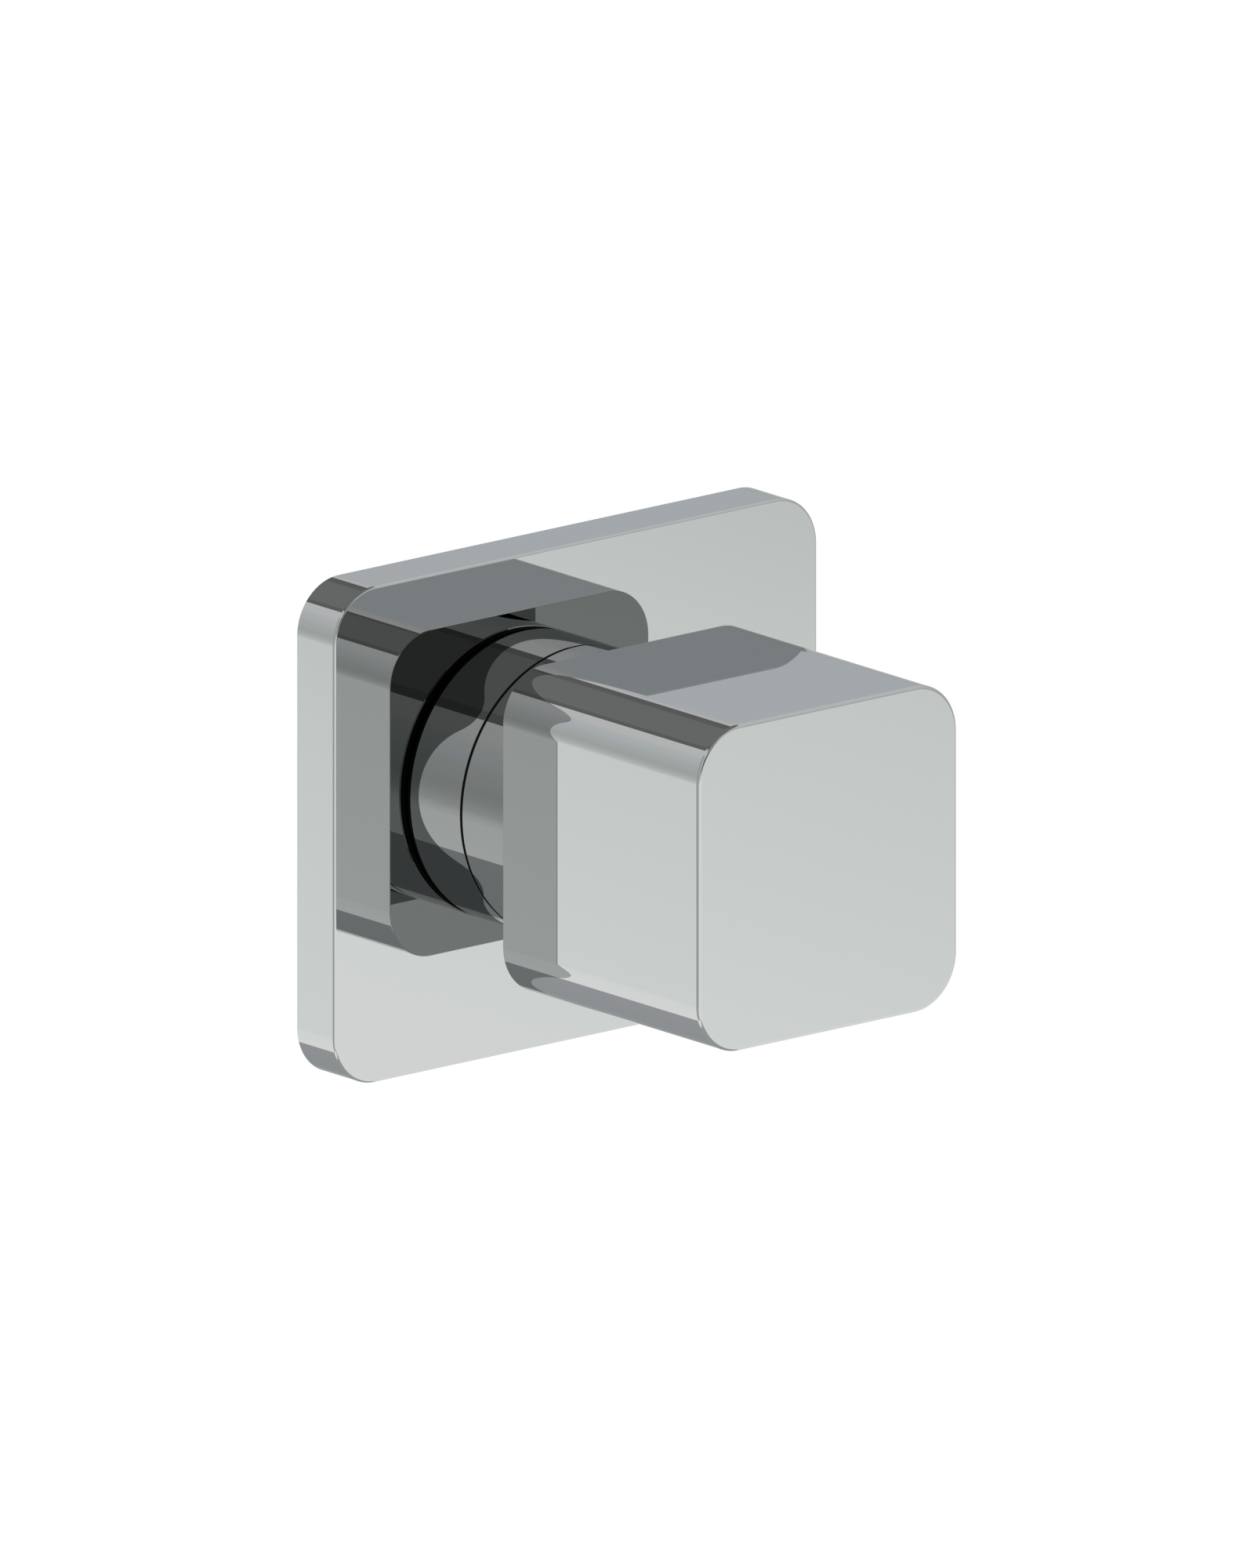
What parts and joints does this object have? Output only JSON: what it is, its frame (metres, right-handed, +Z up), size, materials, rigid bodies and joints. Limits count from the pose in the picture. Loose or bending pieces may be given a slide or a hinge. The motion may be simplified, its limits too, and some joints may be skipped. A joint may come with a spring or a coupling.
{
  "type": "volume control valve trim",
  "caption": "Square volume control knob on a round sleeve and a rectangular wall plate, with the threaded adapter and splined stem extension that carry it on a valve in the wall.",
  "frame": {"origin": "on the knob's turning axis, in the plane of the finished wall that the back of the wall plate and its seal lie on", "axes": "+Z up, +Y into the wall and towards the valve, -Y out of the wall along the knob's axis, +X to the right for someone who faces the knob"},
  "size_m": [0.084, 0.082, 0.0684],
  "materials": {
    "chrome": "mirror-polished chrome plate on brass and zinc castings",
    "brass": "turned, unplated",
    "steel": "bright stainless steel",
    "seal_rubber": "moulded black seal rubber",
    "foam": "fine closed-cell foam strip",
    "acetal_black": "moulded black acetal",
    "acetal_white": "moulded natural acetal",
    "nylon": "moulded glass-filled nylon"
  },
  "bodies": {
    "wall_side": {"wall_plate": "chrome", "plate_seal": "foam", "plate_o_ring": "seal_rubber", "sleeve_gasket": "seal_rubber", "sleeve": "chrome", "glide_ring": "acetal_black", "valve_adapter": "brass", "guide_bush": "acetal_white", "retaining_ring": "steel"},
    "knob": {"knob_body": "chrome", "hub_insert": "nylon", "insert_screws": "steel", "grub_screw": "steel", "screw_plug": "chrome", "handle_adapter": "brass", "hub_o_ring": "seal_rubber", "stem_extension": "brass", "stem_o_ring": "seal_rubber", "stem_screw": "steel", "lock_washer": "steel"}
  },
  "joints": [
    {"name": "knob_turn", "type": "hinge", "parent": "wall_side", "child": "knob", "pos_m": [0, -0.008, 0], "axis": [0, -1, 0], "range_deg": [0, 90]}
  ]
}
